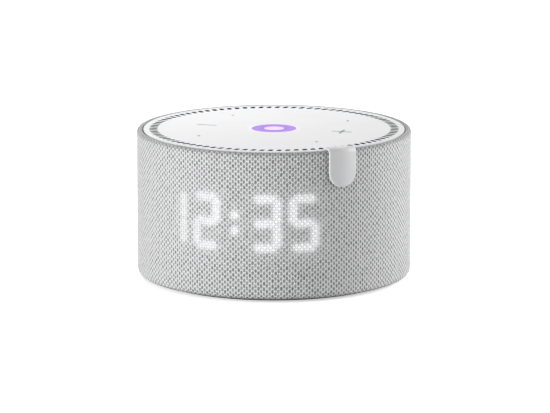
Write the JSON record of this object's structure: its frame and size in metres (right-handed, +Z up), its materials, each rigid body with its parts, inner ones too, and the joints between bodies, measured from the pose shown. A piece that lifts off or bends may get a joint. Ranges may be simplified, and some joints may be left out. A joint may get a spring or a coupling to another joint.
{
  "type": "smart speaker",
  "caption": "Round table-top smart speaker: knitted fabric sleeve, white slotted top with touch surface and light ring, clock display behind the fabric, hanging silicone tag.",
  "frame": {"origin": "centre of the footprint, on the surface that the rubber foot stands on", "axes": "+Z up, the clock faces -Y, the sockets face +Y, +X is to the right seen from the front"},
  "size_m": [0.098, 0.098, 0.0541],
  "materials": {
    "knit_fabric": "soft light-grey acoustic knit",
    "cover_white": "fine satin moulded white",
    "tag_silicone": "matte silicone",
    "shell_grey": "plain moulded",
    "base_grey": "fine moulded texture",
    "foot_rubber": "matte",
    "lens_purple": "translucent, lit",
    "cap_white": "translucent, faintly lit",
    "diffuser_white": "translucent, lit",
    "led_white": "potted",
    "reflector_white": "plain moulded",
    "dark_plastic": "plain moulded",
    "board_green": "solder mask",
    "steel": "zinc plated",
    "nickel": "nickel plated",
    "magnet_grey": "sintered ferrite",
    "aluminium": "plain sheet",
    "cone_paper": "coated pulp",
    "rubber_black": "matte",
    "spider_cloth": "resin treated",
    "copper": "enamelled winding",
    "foam_grey": "soft foam",
    "cable_amber": "polyimide film",
    "capacitor_black": "sleeved",
    "ferrite_grey": "ground",
    "panel_white": "fine moulded texture",
    "knob_white": "plain moulded"
  },
  "bodies": {
    "speaker_body": {"fabric_sleeve": "knit_fabric", "side_housing": "shell_grey", "base_plate": "base_grey", "rubber_foot": "foot_rubber", "base_screws": "steel", "top_cover": "cover_white", "hanging_tag": "tag_silicone", "light_ring_lens": "lens_purple", "ring_center_cap": "cap_white", "light_shroud": "reflector_white", "light_board": "board_green", "ring_leds": "led_white", "touch_board": "board_green", "microphones": "nickel", "mic_gaskets": "foam_grey", "sound_deflector": "dark_plastic", "deflector_screws": "steel", "driver_baffle": "dark_plastic", "acoustic_chamber": "dark_plastic", "yoke": "steel", "magnet": "magnet_grey", "top_plate": "steel", "driver_basket": "steel", "driver_gasket": "foam_grey", "driver_screws": "steel", "surround": "rubber_black", "spider": "spider_cloth", "speaker_leads": "rubber_black", "display_frame": "reflector_white", "segment_lenses": "diffuser_white", "display_board": "board_green", "display_leds": "led_white", "display_cable": "cable_amber", "cable_connector": "dark_plastic", "main_board": "board_green", "shield_can": "nickel", "thermal_pad": "foam_grey", "heat_spreader": "aluminium", "capacitors": "capacitor_black", "power_inductor": "ferrite_grey", "port_panel": "panel_white", "power_inlet": "nickel", "audio_jack": "dark_plastic", "mic_switch_body": "dark_plastic"},
    "cone_assembly": {"cone": "cone_paper", "dust_cap": "cone_paper", "voice_coil": "copper"},
    "mic_switch": {"mic_switch_slider": "knob_white"}
  },
  "joints": [
    {"name": "mic_switch_slide", "type": "slide", "parent": "speaker_body", "child": "mic_switch", "axis": [1, 0, 0], "range_m": [0, 0.002]},
    {"name": "cone_travel", "type": "slide", "parent": "speaker_body", "child": "cone_assembly", "axis": [0, 0, 1], "range_m": [-0.0015, 0.0015], "stiffness_N_per_m": 2000, "deforming": ["surround", "spider"]}
  ]
}
